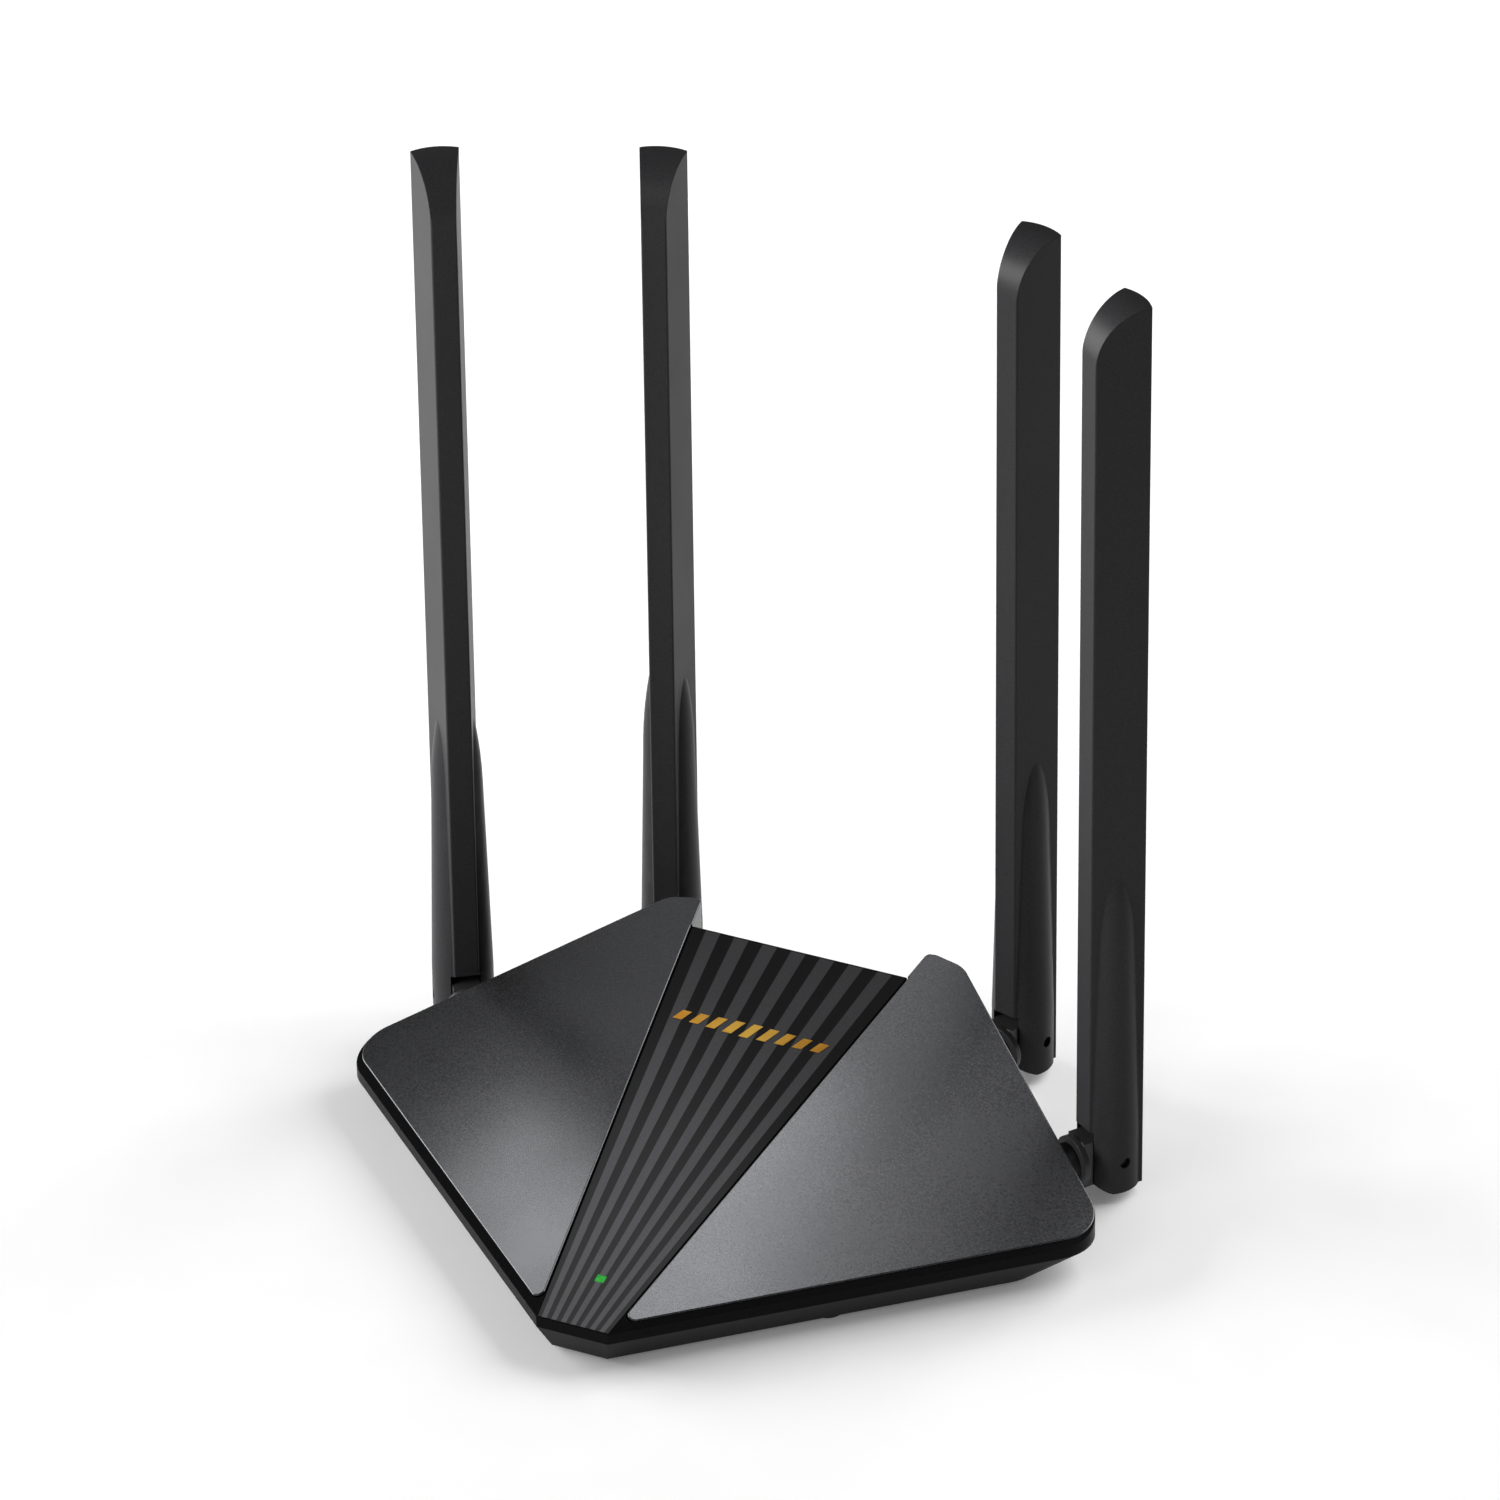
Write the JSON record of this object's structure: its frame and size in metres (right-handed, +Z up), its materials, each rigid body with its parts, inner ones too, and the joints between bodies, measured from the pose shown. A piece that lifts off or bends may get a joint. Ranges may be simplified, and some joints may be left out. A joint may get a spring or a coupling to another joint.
{
  "type": "wireless router",
  "caption": "Wedge-shaped desktop wireless router with a striped centre panel, swallow-tail rear and folding, swivelling whip antennas.",
  "frame": {"origin": "on the desk, below the middle of the router's bounding box", "axes": "+X to the router's right seen from its pointed front, +Y towards the rear sockets, +Z up"},
  "size_m": [0.2088, 0.178, 0.2625],
  "materials": {
    "wing": "satin metallic lacquer over moulded plastic",
    "casing": "gloss black",
    "panel": "gloss black with fanned satin grey stripes",
    "mark": "satin gold foil",
    "base": "fine matt texture",
    "antenna": "fine satin texture",
    "hinge": "satin",
    "rubber": "matt",
    "steel": "zinc plated",
    "lamp": "clear green",
    "board": "green solder mask",
    "chip": "moulded",
    "sink": "anodised",
    "can": "tin plate",
    "socket": "moulded",
    "contact": "gold flash",
    "button": "satin",
    "capacitor": "sleeved",
    "ferrite": "moulded",
    "coax": "smooth jacket",
    "element": "copper trace on laminate"
  },
  "bodies": {
    "router_body": {"lower_case": "base", "upper_casing": "casing", "right_wing_panel": "wing", "left_wing_panel": "wing", "centre_panel": "panel", "panel_mark": "mark", "light_pipe": "lamp", "status_led": "lamp", "main_board": "board", "processor_chip": "chip", "heat_sink": "sink", "memory_chip": "chip", "shield_can_left": "can", "shield_can_right": "can", "network_transformers": "chip", "capacitors": "capacitor", "inductors": "ferrite", "wan_jack": "socket", "lan_jack_inner": "socket", "lan_jack_outer": "socket", "jack_contacts": "contact", "dc_jack": "socket", "button_switch": "chip", "coax_connectors": "contact", "case_screws": "steel", "rubber_feet": "rubber", "board_coax_front_left": "coax", "board_coax_front_right": "coax", "board_coax_rear_left": "coax", "board_coax_rear_right": "coax"},
    "reset_button": {"reset_button": "button", "switch_plunger": "button"},
    "swivel_front_left": {"hinge_base_front_left": "hinge", "hinge_clip_front_left": "steel"},
    "whip_front_left": {"antenna_sleeve_front_left": "antenna", "hinge_pin_front_left": "steel", "radiator_front_left": "element", "whip_coax_front_left": "coax"},
    "swivel_front_right": {"hinge_base_front_right": "hinge", "hinge_clip_front_right": "steel"},
    "whip_front_right": {"antenna_sleeve_front_right": "antenna", "hinge_pin_front_right": "steel", "radiator_front_right": "element", "whip_coax_front_right": "coax"},
    "swivel_rear_left": {"hinge_base_rear_left": "hinge", "hinge_clip_rear_left": "steel"},
    "whip_rear_left": {"antenna_sleeve_rear_left": "antenna", "hinge_pin_rear_left": "steel", "radiator_rear_left": "element", "whip_coax_rear_left": "coax"},
    "swivel_rear_right": {"hinge_base_rear_right": "hinge", "hinge_clip_rear_right": "steel"},
    "whip_rear_right": {"antenna_sleeve_rear_right": "antenna", "hinge_pin_rear_right": "steel", "radiator_rear_right": "element", "whip_coax_rear_right": "coax"}
  },
  "joints": [
    {"name": "swivel_front_left", "type": "hinge", "parent": "router_body", "child": "swivel_front_left", "pos_m": [-0.093, 0.0393, 0.012], "axis": [0.5592, -0.829, 0], "range_deg": [-8, 90]},
    {"name": "fold_front_left", "type": "hinge", "parent": "swivel_front_left", "child": "whip_front_left", "pos_m": [-0.093, 0.0393, 0.012], "axis": [-0.829, -0.5592, 0], "range_deg": [0, 90]},
    {"name": "swivel_front_right", "type": "hinge", "parent": "router_body", "child": "swivel_front_right", "pos_m": [0.093, 0.0393, 0.012], "axis": [0.5592, 0.829, 0], "range_deg": [-8, 90]},
    {"name": "fold_front_right", "type": "hinge", "parent": "swivel_front_right", "child": "whip_front_right", "pos_m": [0.093, 0.0393, 0.012], "axis": [-0.829, 0.5592, 0], "range_deg": [0, 90]},
    {"name": "swivel_rear_left", "type": "hinge", "parent": "router_body", "child": "swivel_rear_left", "pos_m": [-0.051, 0.0808, 0.012], "axis": [0.2419, -0.9703, 0], "range_deg": [-8, 90]},
    {"name": "fold_rear_left", "type": "hinge", "parent": "swivel_rear_left", "child": "whip_rear_left", "pos_m": [-0.051, 0.0808, 0.012], "axis": [-0.9703, -0.2419, 0], "range_deg": [0, 90]},
    {"name": "swivel_rear_right", "type": "hinge", "parent": "router_body", "child": "swivel_rear_right", "pos_m": [0.051, 0.0808, 0.012], "axis": [0.2419, 0.9703, 0], "range_deg": [-8, 90]},
    {"name": "fold_rear_right", "type": "hinge", "parent": "swivel_rear_right", "child": "whip_rear_right", "pos_m": [0.051, 0.0808, 0.012], "axis": [-0.9703, 0.2419, 0], "range_deg": [0, 90]},
    {"name": "reset_press", "type": "slide", "parent": "router_body", "child": "reset_button", "axis": [0, -1, 0], "range_m": [0, 0.0004], "stiffness_N_per_m": 2000}
  ]
}
